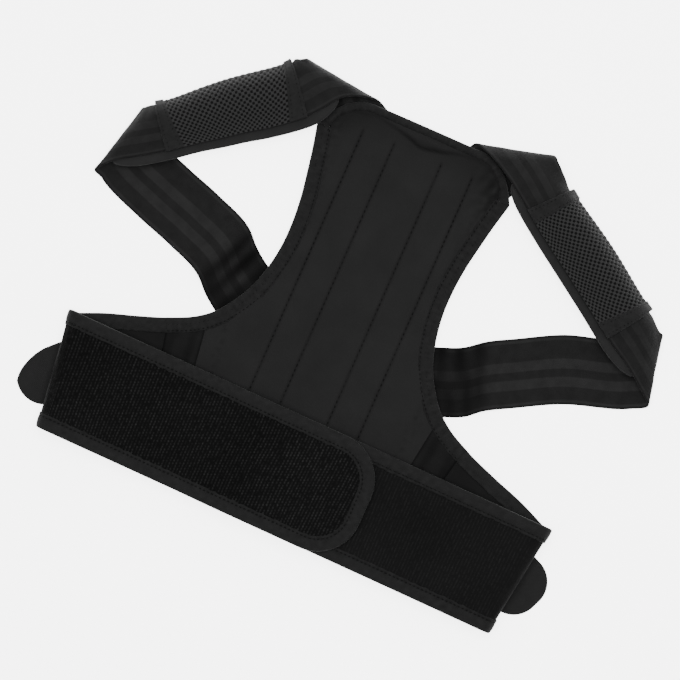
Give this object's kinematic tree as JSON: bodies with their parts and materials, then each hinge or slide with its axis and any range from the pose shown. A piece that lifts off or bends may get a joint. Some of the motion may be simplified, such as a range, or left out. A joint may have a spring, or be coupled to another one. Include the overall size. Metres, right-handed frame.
{
  "type": "posture corrector",
  "caption": "Elastic back support laid flat: padded hourglass back panel, closed waist belt and crossed shoulder straps with soft padded sleeves.",
  "frame": {"origin": "middle of the object's footprint, on the surface that it lies on", "axes": "+X across the wearer's back, towards the belt's plain fold; +Y up the spine, from the belt to the neck edge; +Z off the surface, towards the wearer's side of the back panel"},
  "size_m": [0.5162, 0.3968, 0.0276],
  "materials": {
    "panel_cloth": "foam laminate with a smooth brushed knit face and stitched channel lines",
    "gusset_foam": "matt foam laminate",
    "belt_elastic": "wide ribbed elastic, ribs across the belt",
    "belt_loop_elastic": "ribbed elastic with a brushed loop face",
    "binding_tape": "folded knit edge tape with stitches",
    "strap_elastic": "woven elastic webbing with two lighter lengthwise stripes",
    "pad_cloth": "soft brushed knit over foam",
    "pad_mesh": "open diamond spacer mesh",
    "hook_tape": "dense hook tape"
  },
  "bodies": {
    "root": {"back_panel": "panel_cloth", "side_gusset_left": "gusset_foam", "side_gusset_right": "gusset_foam", "belt_wing_left": "belt_elastic", "belt_wing_right": "belt_loop_elastic", "belt_binding_left": "binding_tape", "belt_binding_right": "binding_tape", "panel_binding": "binding_tape", "foot_binding": "binding_tape", "strap_left": "strap_elastic", "strap_right": "strap_elastic", "shoulder_pad_left": "pad_cloth", "shoulder_pad_right": "pad_cloth", "pad_cover_left": "pad_mesh", "pad_cover_right": "pad_mesh", "cover_tape_left_upper": "binding_tape", "cover_tape_left_lower": "binding_tape", "cover_tape_right_upper": "binding_tape", "cover_tape_right_lower": "binding_tape", "strap_tab_left": "hook_tape", "strap_tab_right": "hook_tape", "hook_patch": "hook_tape"}
  },
  "joints": []
}
